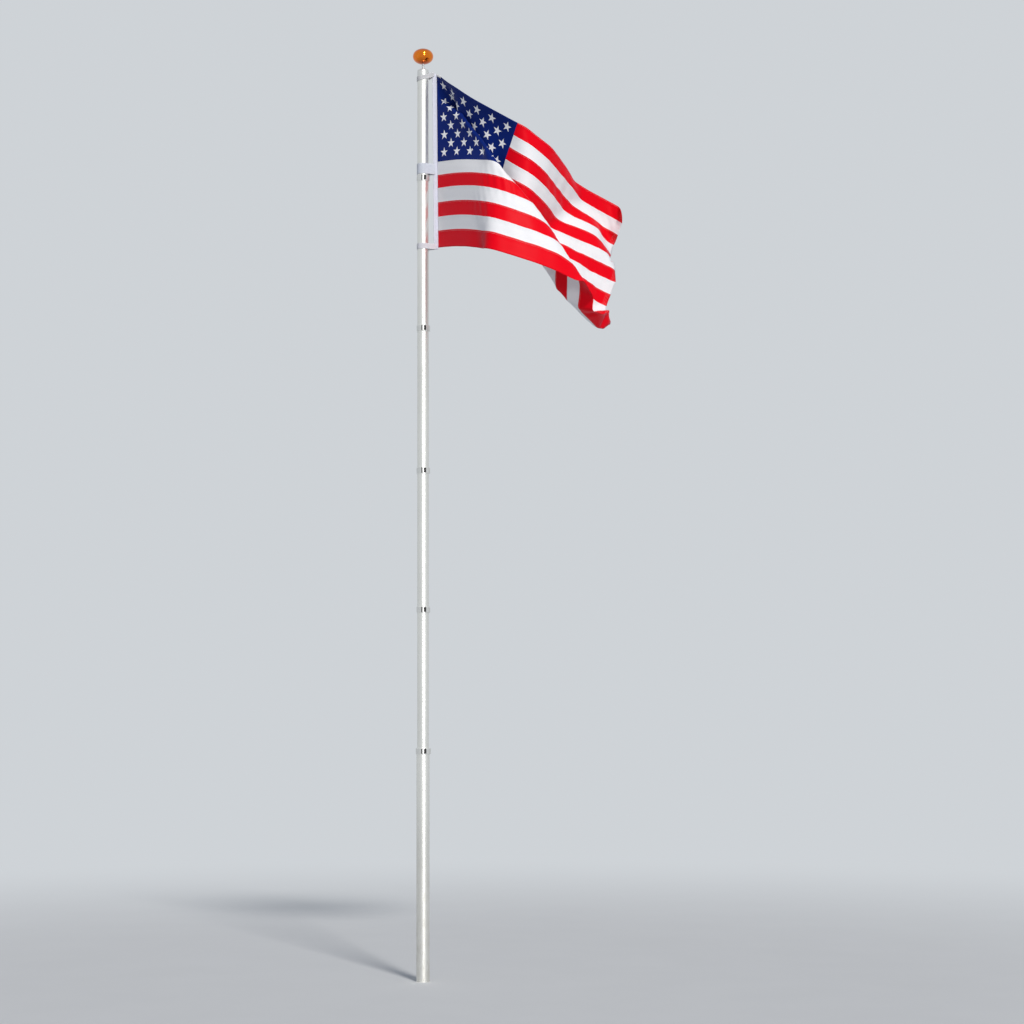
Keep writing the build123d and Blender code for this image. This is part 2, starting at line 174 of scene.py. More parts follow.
def spline_weights(count, places):
    """Natural cubic spline through evenly spaced knots, as weights of the knots at each place from 0 to 1."""
    bend = np.eye(count)
    pull = np.zeros((count, count))
    for knot in range(1, count - 1):
        bend[knot, knot - 1:knot + 2] = 1, 4, 1
        pull[knot, knot - 1:knot + 2] = 6, -12, 6
    curvature = np.linalg.solve(bend, pull)
    place = np.clip(np.asarray(places) * (count - 1), 0, count - 1)
    low = np.minimum(place.astype(int), count - 2)
    b = (place - low)[:, None]
    a = 1 - b
    unit = np.eye(count)
    return (a * unit[low] + b * unit[low + 1]
            + (a**3 - a) / 6 * curvature[low] + (b**3 - b) / 6 * curvature[low + 1])


def resampled(points, shares, levels):
    """The same cloth on other grid lines."""
    down = spline_weights(points.shape[0], levels)
    across = spline_weights(points.shape[1], shares)
    return np.einsum("ai,bj,ijc->abc", down, across, points)


# Steps down an energy: the longest and the first, in metres, how often one is halved,
# and the least fall and the least turn that count
longest_step, first_step = 0.02, 1e-4
halvings = 12
least_fall, least_turn = 1e-4, 1e-14
tiny = 1e-12


def settle(energy, x, steps, memory=8):
    """Goes down an energy by limited-memory quasi-Newton steps."""
    e, slope = energy(x)
    past = []
    for _ in range(steps):
        step = slope.copy()
        used = []
        for moved, turned, rate in reversed(past):
            share = rate * (moved @ step)
            step -= share * turned
            used.append(share)
        if past:
            moved, turned, rate = past[-1]
            step *= (moved @ turned) / (turned @ turned)
        else:
            step *= first_step / (np.abs(slope).max() + tiny)
        for (moved, turned, rate), share in zip(past, reversed(used)):
            step += moved * (share - rate * (turned @ step))
        fall = -(slope @ step)
        if fall >= 0:
            past = []
            continue
        length = min(1.0, longest_step / np.abs(step).max())
        for _ in range(halvings):
            tried = x - length * step
            e_tried, slope_tried = energy(tried)
            if e_tried <= e + least_fall * length * fall:
                break
            length /= 2
        moved, turned = tried - x, slope_tried - slope
        if moved @ turned > least_turn:
            past = (past + [(moved, turned, 1 / (moved @ turned))])[-memory:]
        x, e, slope = tried, e_tried, slope_tried
    return x


def nearest(curve, place):
    """Nearest place on a drawn line, and whether it is one of its ends."""
    start, along = curve[:-1], np.diff(curve, axis=0)
    t = np.clip(((place - start) * along).sum(1) / (along**2).sum(1), 0, 1)
    on_line = start + t[:, None] * along
    best = ((on_line - place) ** 2).sum(1).argmin()
    at_end = (best == 0 and t[best] == 0) or (best == len(t) - 1 and t[best] == 1)
    return on_line[best], at_end


def smooth_line(places, parts=5):
    """A smooth drawn line through a few places."""
    places = np.array(places, float)
    ends = np.vstack([2 * places[0] - places[1], places, 2 * places[-1] - places[-2]])
    run = []
    for before, start, end, after in zip(ends, ends[1:], ends[2:], ends[3:]):
        for t in np.arange(parts) / parts:
            span = np.linalg.norm(end - start)
            leaving = (end - before) / np.linalg.norm(end - before) * span
            arriving = (after - start) / np.linalg.norm(after - start) * span
            run.append(
                start * (2 * t**3 - 3 * t**2 + 1) + leaving * (t**3 - 2 * t**2 + t)
                + end * (3 * t**2 - 2 * t**3) + arriving * (t**3 - t**2)
            )
    return np.array(run + [places[-1]])


# How firmly the cloth keeps its lengths, its place off other layers and its slant from the hoist
length_hold, shear_hold, layer_hold, slant_hold = 40, 4, 0.2, 0.4
# It bends easily within this reach of a fold, or of the corner's in stripes, and is stiff beside the hoist
fold_reach, corner_reach, fold_stiffness = 0.05, 0.6, 0.15
hoist_stiff_to, hoist_stiffness = 0.55, 12.0
# Layers keep this gap where they are so far apart on the cloth, and all stay behind the front limit
layer_gap, apart_on_cloth, front_limit = 0.02, 0.12, -0.472
# Layers meet where they are seen within so many pixels, or more on a grid of few columns
pair_reach, pair_reach_by_column = 1.2, 110
# The most pixels that a seam is pulled at once, and the grid columns for which the amounts are meant
longest_pull, least_pull, usual_columns = 4, 1e-6, 52
# On how many seams the canton's edge is seen, the last seam that isn't followed between the folds,
# and where the lowest seam turns, as a share of the fly's length
canton_edge_seams, last_high_seam, turned_from = 4, 9, 0.85
# How far from the folds a seam's line is followed, as shares of the fly's length
front_margin, rear_margin, under_margin, back_margin, under_to = 0.02, 0.03, 0.05, 0.01, 0.9
centimetres = 100


class Cloth:
    """The flag's cloth as a grid that keeps its flat lengths while it goes to the places seen."""

    def __init__(self, points):
        self.points = points.copy()
        self.down, self.across = points.shape[0] - 1, points.shape[1] - 1
        self.per_stripe = self.down // stripes
        self.width = fly / self.across
        self.level, self.share = np.meshgrid(
            np.linspace(0, stripes, self.down + 1), np.linspace(0, 1, self.across + 1), indexing="ij"
        )
        ridge = np.interp(self.level, list(front_fold), list(front_fold.values()))
        valley = np.interp(self.level, list(back_fold), list(back_fold.values()))
        valley[self.level > last_back_fold] = past_fly
        corner = np.interp(self.share, *zip(*corner_fold))
        beside_corner = self.share > corner_fold[0][0]
        self.layer = np.where(self.share < ridge, 0, np.where(self.share < valley, 1, 2))
        self.layer[self.level < min(front_fold)] = 0
        self.layer[beside_corner & (self.level > corner)] = 1
        near = np.minimum(abs(self.share - ridge), abs(self.share - valley)) * fly < fold_reach
        near &= self.level >= min(front_fold)
        near[beside_corner & (self.level > last_back_fold)] = False
        near |= beside_corner & (abs(self.level - corner) < corner_reach)
        beside_hoist = np.clip((hoist_stiff_to - self.share) / hoist_stiff_to, 0, 1)
        self.stiff = np.where(near, fold_stiffness, 1 + hoist_stiffness * beside_hoist)
        left, top, lean = hoist_line
        z = self.points[:, 0, 2]
        self.points[:, 0] = np.stack([left + lean * (top - z), 0 * z, z], -1)
        self.heights = z[:-1] - z[1:]

    def corners(self, share, level):
        """The four grid points round a place on the cloth, and their weights."""
        i, j = level * self.per_stripe, share * self.across
        low_i, low_j = int(min(i, self.down - 1)), int(min(j, self.across - 1))
        a, b = i - low_i, j - low_j
        first = low_i * (self.across + 1) + low_j
        cells = np.array([first, first + 1, first + self.across + 1, first + self.across + 2])
        return cells, np.array([(1 - a) * (1 - b), (1 - a) * b, a * (1 - b), a * b])

    def aim_at(self, share, level, column, row, amount):
        """A place on the cloth goes to where it is seen, at any depth."""
        cells, weights = self.corners(share, level)
        here = weights @ self.points.reshape(-1, 3)[cells]
        for axis in ((1, 0, 0), (0, 0, 1)):
            self.aims.append((cells, weights, sight(column, row, here[1]), axis, amount))

    def reach_to(self, share, level, reach, amount):
        """A place on the cloth goes to a depth in front of the pole."""
        cells, weights = self.corners(share, level)
        self.aims.append((cells, weights, (0, -reach * metres_per_pixel, 0), (0, 1, 0), amount))

    def follow(self, level, start, end, curve, amount):
        """A seam's grid points go to its drawn line, straight across it."""
        row = level * self.per_stripe
        drawn = seen(self.points[row])
        runs = np.gradient(drawn, axis=0)
        runs /= np.linalg.norm(runs, axis=1, keepdims=True)
        curve = smooth_line(curve)
        for j in range(max(1, int(np.ceil(start * self.across))), int(end * self.across) + 1):
            place, at_end = nearest(curve, drawn[j])
            off = place - drawn[j]
            if at_end:
                off = off - (off @ runs[j]) * runs[j]
            size = np.linalg.norm(off)
            across = off / size if size > least_pull else np.array([-runs[j][1], runs[j][0]])
            off *= min(1, longest_pull / max(size, least_pull))
            aim = sight(*(drawn[j] + off), self.points[row, j, 1])
            cells, weights = self.corners(j / self.across, level)
            amount_here = amount * usual_columns / self.across
            self.aims.append((cells, weights, aim, (across[0], 0, -across[1]), amount_here))

    def take_aim(self, places, lines, folds, depths):
        """Where the cloth has to go, from where it is now, with how much each kind of place counts."""
        self.aims = []
        for row, column, x, y in stars:
            across, down = canton_fly * column / star_columns, canton_stripes * row / star_rows
            self.aim_at(across, down, x, y, places)
        for level, seam in enumerate(seams):
            known = np.array(seam, float)
            at, drawn = known[:, 0], known[:, 1:3]
            if level < canton_edge_seams:
                self.aim_at(canton_fly, level, *drawn[at == canton_fly][0], places)
            self.aim_at(1, level, *drawn[-1], places)
            front, back = front_fold.get(level, 0), back_fold.get(level, 1)
            if level >= canton_stripes:
                self.follow(level, 0, front - front_margin, drawn[at <= front], lines)
            if level < len(comes_out):
                rear = drawn[at >= comes_out[level] - rear_margin]
                if len(rear) > 1:
                    self.follow(level, comes_out[level], 1, rear, lines)
            if level > last_high_seam:
                low = drawn[(at > front) & (at <= min(back, under_to))]
                if len(low) > 1:
                    end = back - back_margin if level < stripes else turned_from
                    self.follow(level, front + under_margin, end, low, lines)
            if level == stripes:
                self.follow(level, turned_from, 1, drawn[at > turned_from], lines)
            if level >= canton_stripes:
                cells, weights = self.corners(front, level)
                here = seen(weights @ self.points.reshape(-1, 3)[cells])
                self.aim_at(front, level, *nearest(np.array(fold_line, float), here)[0], folds)
            for share, _, _, reach in seam[1:]:
                if depths:
                    self.reach_to(share, level, reach, depths)
        for level, (x, y) in back_fold_places.items():
            self.aim_at(back_fold[level], level, x, y, 3 * folds)
        for level, end, column, reach in slant_ends:
            known = np.array(seams[level], float)
            first = seen(self.points[level * self.per_stripe, :1])[0, 0]
            for part in (.25, .5, .75, 1):
                share = part * end
                row = np.interp(share, known[:, 0], known[:, 2])
                self.aim_at(share, level, first + part * (column - first), row, places)
                self.reach_to(share, level, part * reach, slant_hold)
        for share, level, x, y in corner_places:
            self.aim_at(share, level, x, y, 2 * folds)
        cells, weights, aims, axes, amounts = zip(*self.aims)
        self.cells, self.weights, self.goals = np.array(cells), np.array(weights), np.array(aims)
        self.axes, self.amounts = np.array(axes, float), np.array(amounts)
        self.pair_layers()

    def pair_layers(self):
        """Points of different layers that are seen at the same place."""
        drawn = seen(self.points).reshape(-1, 2)
        flat = np.stack([self.share * fly, self.level * hoist / stripes], -1).reshape(-1, 2)
        layer = self.layer.reshape(-1)
        reach = max(pair_reach, pair_reach_by_column / self.across)
        fronts, backs = [], []
        for front, back in ((0, 1), (0, 2), (1, 2)):
            a, b = np.nonzero(layer == front)[0], np.nonzero(layer == back)[0]
            close = ((drawn[a, None] - drawn[None, b]) ** 2).sum(-1) < reach**2
            i, j = np.nonzero(close)
            apart = np.hypot(*(flat[a[i]] - flat[b[j]]).T) > apart_on_cloth
            fronts.append(a[i][apart])
            backs.append(b[j][apart])
        self.fronts, self.backs = np.concatenate(fronts), np.concatenate(backs)

    def energy(self, x, bend, layers):
        """Stretch, bend, and distance in centimetres from the aims and behind the layers, with its slope."""
        p = x.reshape(self.points.shape)
        slope = np.zeros_like(p)
        total = 0.0

        def keep_length(a, b, length, amount):
            nonlocal total
            run = p[b] - p[a]
            now = np.sqrt((run**2).sum(-1, keepdims=True)) + tiny
            strain = now / length - 1
            total += amount * (strain**2).sum()
            pull = 2 * amount / length * strain / now * run
            slope[b] += pull
            slope[a] -= pull

        every, low, high = slice(None), slice(0, -1), slice(1, None)
        heights = self.heights[:, None, None]
        keep_length((every, low), (every, high), self.width, length_hold)
        keep_length((low, every), (high, every), heights, length_hold)
        keep_length((low, low), (high, high), np.hypot(self.width, heights), shear_hold)
        keep_length((low, high), (high, low), np.hypot(self.width, heights), shear_hold)
        for before, here, after in (
            ((every, slice(0, -2)), (every, slice(1, -1)), (every, slice(2, None))),
            ((slice(0, -2), every), (slice(1, -1), every), (slice(2, None), every)),
        ):
            turn = p[before] - 2 * p[here] + p[after]
            hold = self.stiff[here][..., None] * bend / self.width**2
            total += (hold * turn**2).sum()
            slope[before] += 2 * hold * turn
            slope[here] -= 4 * hold * turn
            slope[after] += 2 * hold * turn
        flat, flat_slope = p.reshape(-1, 3), slope.reshape(-1, 3)
        here = (flat[self.cells] * self.weights[..., None]).sum(1)
        off = ((here - self.goals) * self.axes).sum(-1) * centimetres
        total += (self.amounts * off**2).sum()
        pull = (2 * centimetres * self.amounts * off)[:, None] * self.axes
        pulls = (pull[:, None] * self.weights[..., None]).reshape(-1, 3)
        np.add.at(flat_slope, self.cells.reshape(-1), pulls)
        lack = np.maximum(flat[self.fronts, 1] + layer_gap - flat[self.backs, 1], 0) * centimetres
        total += layers * (lack**2).sum()
        np.add.at(flat_slope[:, 1], self.fronts, 2 * centimetres * layers * lack)
        np.add.at(flat_slope[:, 1], self.backs, -2 * centimetres * layers * lack)
        over = np.maximum(front_limit - flat[:, 1], 0) * centimetres
        total += (over**2).sum()
        flat_slope[:, 1] -= 2 * centimetres * over
        slope[:, 0] = 0
        return total, slope.reshape(-1)

    def hang(self, rounds, steps, places, lines, folds, bend, depths=0.0):
        """Aims and settles a few times over, while the first guess of the depths fades out."""
        for turn in range(rounds):
            self.take_aim(places, lines, folds, depths * (1 - turn / rounds))
            x = settle(lambda x: self.energy(x, bend, layer_hold), self.points.reshape(-1), steps)
            self.points = x.reshape(self.points.shape)


def hung_cloth():
    """The cloth as it hangs: a coarse grid first, then a finer one."""
    across = 39
    cloth = Cloth(hanging_start(across, 2 * stripes))
    cloth.hang(rounds=10, steps=30, places=.2, lines=.2, folds=.1, bend=2, depths=.02)
    cloth.hang(rounds=10, steps=30, places=.4, lines=.3, folds=.1, bend=.8, depths=.004)
    shares, levels = np.linspace(0, 1, 2 * across + 1), np.linspace(0, 1, 3 * stripes + 1)
    fine = Cloth(resampled(cloth.points, shares, levels))
    fine.hang(rounds=10, steps=40, places=.6, lines=.4, folds=.2, bend=.2)
    return fine.points


# Shader values and nodes
class Value:
    """What a shader node gives, with plain arithmetic that adds maths nodes."""

    def __init__(self, socket):
        self.socket = socket
        self.tree = socket.id_data


arithmetic = {
    "__add__": "ADD", "__sub__": "SUBTRACT", "__mul__": "MULTIPLY", "__truediv__": "DIVIDE",
    "__mod__": "FLOORED_MODULO", "__pow__": "POWER", "__lt__": "LESS_THAN", "__gt__": "GREATER_THAN",
}
for sign, operation in arithmetic.items():
    setattr(Value, sign, lambda value, other, operation=operation: calc(operation, value, other))
Value.__rsub__ = lambda value, other: calc("SUBTRACT", other, value)
Value.__abs__ = lambda value: calc("ABSOLUTE", value)


def feed(socket, value):
    """A socket takes a number or a colour, or a link from another node."""
    if isinstance(value, Value):
        value.tree.links.new(value.socket, socket)
    else:
        socket.default_value = value


def put(tree, kind, output, inputs=None, **settings):
    """What one output of a new shader node gives."""
    node = tree.nodes.new("ShaderNode" + kind)
    for name, value in settings.items():
        setattr(node, name, value)
    for name, value in (inputs or {}).items():
        feed(node.inputs[name], value)
    return Value(node.outputs[output])


def calc(operation, *values):
    """A maths node's result."""
    tree = next(value.tree for value in values if isinstance(value, Value))
    return put(tree, "Math", 0, dict(enumerate(values)), operation=operation)


def largest(*values):
    """The largest of some values."""
    most = values[0]
    for value in values[1:]:
        most = calc("MAXIMUM", most, value)
    return most


def axes_of(place):
    """How far a place lies along X, Y and Z."""
    first = put(place.tree, "SeparateXYZ", "X", {0: place})
    return [Value(socket) for socket in first.socket.node.outputs]


def mixed(share, first, second):
    """One colour over another by a mask."""
    return put(share.tree, "Mix", 2, {0: share, 6: first, 7: second}, data_type="RGBA")


def ranged(value, low, high, to_low=0.0, to_high=1.0, **settings):
    """A value brought from one range to another, held at its ends."""
    inputs = {"Value": value, "From Min": low, "From Max": high, "To Min": to_low, "To Max": to_high}
    return put(value.tree, "MapRange", "Result", inputs, **settings)


def noise(place, scale, detail=3.0, roughness=0.55):
    """Cloudy noise, stretched where the scale is one number for each axis."""
    if isinstance(scale, tuple):
        place = put(place.tree, "VectorMath", 0, {0: place, 1: scale}, operation="MULTIPLY")
        scale = 1.0
    inputs = {"Vector": place, "Scale": scale, "Detail": detail, "Roughness": roughness}
    return put(place.tree, "TexNoise", "Fac", inputs)


def bump(height, strength, distance, below=None):
    """Relief of a surface, over other relief where it has some."""
    inputs = {"Height": height, "Strength": strength, "Distance": distance}
    if below is not None:
        inputs["Normal"] = below
    return put(height.tree, "Bump", "Normal", inputs)


def object_place(tree):
    return put(tree, "TexCoord", "Object")


def flat_place(tree):
    """The flat place on a sheet, from its own map."""
    return put(tree, "UVMap", "UV", uv_map="flat")


def group(name, inputs, outputs):
    """A new node group, what it is given and where its results go. A place has no usual value."""
    tree = bpy.data.node_groups.new(name, "ShaderNodeTree")
    for title, usual in inputs.items():
        kind = "NodeSocketVector" if usual is None else "NodeSocketFloat"
        socket = tree.interface.new_socket(title, in_out="INPUT", socket_type=kind)
        if usual is not None:
            socket.default_value = usual
    for title in outputs:
        tree.interface.new_socket(title, in_out="OUTPUT", socket_type="NodeSocketFloat")
    given = tree.nodes.new("NodeGroupInput").outputs
    result = tree.nodes.new("NodeGroupOutput").inputs
    return tree, {socket.name: Value(socket) for socket in given}, result


def placed(tree, effect, **inputs):
    """What a group gives, set in a material with its own values."""
    node = tree.nodes.new("ShaderNodeGroup")
    node.node_tree = effects[effect]
    for name, value in inputs.items():
        feed(node.inputs[name], value)
    return {socket.name: Value(socket) for socket in node.outputs}


# Effects that the finishes are made of
def drawn_grain_effect():
    """Fine die lines along a drawn tube, with cloudy patches and small marks."""
    tree, given, result = group("drawn_grain", {"Place": None}, ["Lines", "Clouds", "Marks"])
    feed(result["Lines"], noise(given["Place"], (900, 900, 6), 4.0))
    feed(result["Clouds"], ranged(noise(given["Place"], (9, 9, 2.2), 5.0, 0.6), 0.35, 0.65))
    feed(result["Marks"], ranged(noise(given["Place"], (160, 160, 40), 2.0), 0.66, 0.74))
    return tree


def grime_effect():
    """Dust and dullness that gather towards the ground."""
    tree, given, result = group("grime", {"Place": None, "Reach": 0.5}, ["Mask"])
    height = axes_of(given["Place"])[2]
    low = ranged(height / given["Reach"], 0.0, 1.0, 1.0, 0.0)
    blotch = noise(given["Place"], (30, 30, 12), 6.0, 0.65)
    feed(result["Mask"], low * ranged(blotch, *noise_span))
    return tree


def weave_effect():
    """Plain weave from a flat place in metres: the height of its threads, and their uneven shade."""
    tree, given, result = group("weave", {"Flat": None, "Threads": 900.0}, ["Height", "Shade"])
    across, down, _ = axes_of(given["Flat"])
    turn = given["Threads"] * pi
    feed(result["Height"], calc("SINE", across * turn) * calc("SINE", down * turn))
    feed(result["Shade"], noise(given["Flat"], (60, 1400, 1), 2.0))
    return tree


def stitch_effect():
    """A row of stitches, from the way along it and the way off it, as a mask."""
    usual = {"Along": 0.0, "Off": 0.0, "Pitch": mm(4), "Width": mm(.6)}
    tree, given, result = group("stitch_row", usual, ["Mask"])
    thread = calc("FRACT", given["Along"] / given["Pitch"]) < stitch_share
    near = abs(given["Off"]) < given["Width"]
    feed(result["Mask"], thread * near)
    return tree


def star_effect():
    """The canton's fifty stars in nine rows, from the flat place on the flag."""
    tree, given, result = group("star_rows", {"Across": 0.0, "Down": 0.0, "Radius": star_radius}, ["Mask"])
    step_x, step_z = fly * canton_fly / star_columns, canton_stripes / star_rows
    # A ray's straight edge runs from its point to the hollow beside it
    fifth = radians(72)
    hollow = sin(fifth / 4) / sin(radians(54))
    edge = Vector((hollow * cos(fifth / 2) - 1, hollow * sin(fifth / 2)))
    normal = Vector((edge.y, -edge.x)).normalized()
    found = []
    for shift in (0, 1):
        x = given["Across"] / step_x
        z = given["Down"] / step_z
        inside_x = calc("COMPARE", x, star_columns / 2, star_columns / 2 - shift)
        inside_z = calc("COMPARE", z, star_rows / 2, star_rows / 2 - shift)
        off_x = ((x + shift) % 2.0 - 1.0) * step_x
        off_z = ((z + shift) % 2.0 - 1.0) * (-step_z * stripe_height)
        away = calc("SQRT", off_x ** 2.0 + off_z ** 2.0)
        turn = calc("ARCTAN2", off_x, off_z)
        wrapped = abs((turn + fifth / 2) % fifth - fifth / 2)
        along = away * calc("COSINE", wrapped)
        aside = away * calc("SINE", wrapped)
        reach = along * normal.x + aside * normal.y
        mask = reach < given["Radius"] * normal.x
        found.append(mask * (inside_x * inside_z))
    feed(result["Mask"], largest(*found))
    return tree


def edge_wear_effect():
    """Bare metal along the upper and lower edge of a collar, broken up by small chips."""
    usual = {"Place": None, "Low": 0.0, "High": 0.1, "Reach": mm(2)}
    tree, given, result = group("edge_wear", usual, ["Mask"])
    height = axes_of(given["Place"])[2]
    above = height - given["Low"]
    below = given["High"] - height
    near = calc("MINIMUM", above, below) / given["Reach"]
    chips = noise(given["Place"], 400.0, 4.0, 0.6)
    feed(result["Mask"], ranged(chips - near * 0.4, 0.2, 0.4))
    return tree


stripe_height = hoist / (stripes - 1 + lowest_stripe)
star_radius = mm(27.5)
stitch_share = 0.72
# Where most of a noise's values lie
noise_span = 0.3, 0.7
effects = {
    "wear": edge_wear_effect(), "grain": drawn_grain_effect(), "grime": grime_effect(),
    "weave": weave_effect(), "stitch": stitch_effect(), "stars": star_effect(),
}


# Finishes
def finish(name, **shader):
    """A new material with a Principled shader."""
    material = bpy.data.materials.new(name)
    material.use_nodes = True
    surface = material.node_tree.nodes["Principled BSDF"]
    for socket, value in shader.items():
        surface.inputs[socket.replace("_", " ")].default_value = value
    return material, material.node_tree, surface


def cover(surface, colour, rough, relief):
    """A finish gets its colour, roughness and relief."""
    feed(surface.inputs["Base Color"], colour)
    feed(surface.inputs["Roughness"], rough)
    feed(surface.inputs["Normal"], relief)


# Colours in linear light, in pairs that clouds, wear or soil bring together
tones = {
    "aluminium": ((0.79, 0.785, 0.745), (0.86, 0.855, 0.815)),
    "marks": ((0.5, 0.49, 0.46), (0.36, 0.34, 0.29)),
    "casting": ((0.70, 0.70, 0.68), (0.79, 0.79, 0.765)),
    "latch": ((0.012, 0.012, 0.013), (0.12, 0.115, 0.10)),
    "pin_steel": ((0.56, 0.55, 0.53), (0.36, 0.33, 0.30)),
    "stem_steel": ((0.70, 0.69, 0.68), (0.52, 0.50, 0.48)),
    "cap": ((0.72, 0.72, 0.70), (0.82, 0.82, 0.80)),
    "floor": ((0.62, 0.63, 0.64), (0.66, 0.67, 0.68)),
    "copper": ((0.88, 0.19, 0.006), (0.93, 0.25, 0.012)),
    # The first is a painted dark reflection for the ball's top and bottom, the second the colour of its dull
    # spots
    "reflection_and_spot_copper": ((0.42, 0.055, 0.012), (0.35, 0.08, 0.02)),
    "red": ((0.84, 0.0005, 0.010), (0.74, 0.0004, 0.008)),
    "white": ((0.86, 0.86, 0.87), (0.80, 0.80, 0.83)),
    "blue": ((0.003, 0.018, 0.165), (0.002, 0.013, 0.13)),
    "top_webbing": ((0.60, 0.60, 0.61), (0.48, 0.48, 0.50)),
    "strap_webbing": ((0.62, 0.65, 0.72), (0.50, 0.53, 0.60)),
    "low_webbing": ((0.66, 0.66, 0.70), (0.55, 0.55, 0.60)),
    "patch_webbing": ((0.86, 0.86, 0.85), (0.76, 0.76, 0.76)),
    # The heading is white canvas, painted here in a grey-lavender tone that stands for its shade
    "heading_tape": ((0.66, 0.67, 0.76), (0.58, 0.59, 0.69)),
}
tones = {name: [(*colour, 1) for colour in pair] for name, pair in tones.items()}
# The near-black is painted shade for the tube inside the collars' slots; the bare metal is for worn edges
slot_shade_colour, bare_metal = (0.02, 0.018, 0.015, 1), (0.9, 0.9, 0.88, 1)
thread_white, flag_thread, star_white = (0.86, 0.86, 0.85, 1), (0.80, 0.78, 0.80, 1), (0.86, 0.86, 0.88, 1)
# The near-black is painted shade between the flag's threads
painted_thread_shadow, sheen_tint = (0.02, 0.02, 0.03, 1), (0.55, 0.5, 1.0, 1)
backdrop, sky_fill, key_light = (0.62, 0.65, 0.68, 1), (0.78, 0.86, 1.0, 1), (1.0, 0.97, 0.93)
pole_metal = 0.92


def tube_finish():
    """Satin clear-anodised drawn aluminium."""
    material, tree, surface = finish("pole_aluminium", Metallic=pole_metal, Anisotropic=0.3)
    place = object_place(tree)
    grain = placed(tree, "grain", Place=place)
    dirt = placed(tree, "grime", Place=place, Reach=1.1)["Mask"]
    scratched, dusty = tones["marks"]
    marked = mixed(grain["Marks"] * 0.35, mixed(grain["Clouds"], *tones["aluminium"]), scratched)
    dirty = mixed(dirt * 0.5, marked, dusty)
    # Painted shade in the slots of the collars: within each collar's height the tube is near-black, dull and
    # not metallic
    height = axes_of(place)[2]
    bands = []
    for collar in collars:
        low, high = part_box(collar)
        half = (high.z - low.z) / 2 - mm(.5)
        bands.append(calc("COMPARE", height, (low.z + high.z) / 2, half))
    slot_shade_mask = largest(*bands)
    feed(surface.inputs["Metallic"], ranged(slot_shade_mask, 0.0, 1.0, pole_metal, 0.0))
    rough = ranged(grain["Lines"], *noise_span, 0.34, 0.42) + dirt * 0.18
    rough = calc("MAXIMUM", rough, slot_shade_mask * 0.8)
    cover(surface, mixed(slot_shade_mask, dirty, slot_shade_colour), rough, bump(grain["Lines"], 0.12, mm(.2)))
    return material


def cast_finish(name, low, high):
    """Bead-blasted cast collar, a little darker than the tubes, bright where its edges have worn."""
    material, tree, surface = finish(name, Metallic=0.9)
    place = object_place(tree)
    cast = noise(place, 700.0, 3.0)
    clouds = noise(place, 60.0, 4.0)
    worn = placed(tree, "wear", Place=place, Low=low, High=high, Reach=mm(2))["Mask"]
    colour = mixed(worn, mixed(ranged(clouds, *noise_span), *tones["casting"]), bare_metal)
    cover(surface, colour, ranged(cast, *noise_span, 0.36, 0.5), bump(cast, 0.25, mm(.3)))
    return material


def latch_finish():
    """Black moulded latch with a fine texture and a little dust."""
    material, tree, surface = finish("latch_black", Specular_IOR_Level=0.35)
    place = object_place(tree)
    pebble = noise(place, 1500.0, 2.0)
    dust = ranged(noise(place, 90.0, 5.0, 0.7), 0.5, 0.75, 0.0, 0.35)
    rough = ranged(pebble, *noise_span, 0.42, 0.6)
    cover(surface, mixed(dust, *tones["latch"]), rough, bump(pebble, 0.3, mm(.2)))
    return material


def steel_finish(name, low_rough, high_rough):
    """Turned steel with fine rings and small stains."""
    material, tree, surface = finish(name, Metallic=1.0)
    place = object_place(tree)
    rings = noise(place, (40, 40, 3000), 2.0)
    stain = ranged(noise(place, 130.0, 5.0, 0.65), 0.5, 0.7)
    rough = ranged(rings, *noise_span, low_rough, high_rough)
    cover(surface, mixed(stain, *tones[name]), rough, bump(rings, 0.15, mm(.2)))
    return material


def cap_finish():
    """Turned aluminium cap with lathe rings."""
    material, tree, surface = finish("cap_aluminium", Metallic=0.9)
    place = object_place(tree)
    rings = noise(place, (30, 30, 2200), 2.0)
    clouds = ranged(noise(place, 45.0, 5.0, 0.6), *noise_span)
    rough = ranged(rings, *noise_span, 0.3, 0.42)
    cover(surface, mixed(clouds, *tones["cap"]), rough, bump(rings, 0.2, mm(.3)))
    return material


def copper_finish():
    """Polished spun copper under a clear lacquer, with faint spinning rings and a few dull spots."""
    material, tree, surface = finish("ball_copper", Metallic=1.0, Coat_Weight=0.35, Coat_Roughness=0.03)
    place = object_place(tree)
    rings = noise(place, (6, 6, 900), 3.0)
    clouds = noise(place, 38.0, 5.0, 0.6)
    spots = ranged(noise(place, 240.0, 2.0), 0.68, 0.76)
    warm = mixed(ranged(clouds, 0.35, 0.65), *tones["copper"])
    # Painted dark reflection towards the ball's top and bottom
    low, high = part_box("finial_ball")
    band = (axes_of(place)[2] - (low.z + high.z) / 2) / ((high.z - low.z) / 2)
    band = band + clouds * 0.16
    painted_reflection = calc("MAXIMUM", ranged(band, 0.5, 0.85), ranged(band, -0.55, -0.85))
    reflection_brown, spotted = tones["reflection_and_spot_copper"]
    colour = mixed(spots * 0.5, mixed(painted_reflection * 0.75, warm, reflection_brown), spotted)
    rough = ranged(rings, *noise_span, 0.06, 0.11) + spots * 0.15
    cover(surface, colour, rough, bump(rings, 0.05, mm(.2)))
    return material


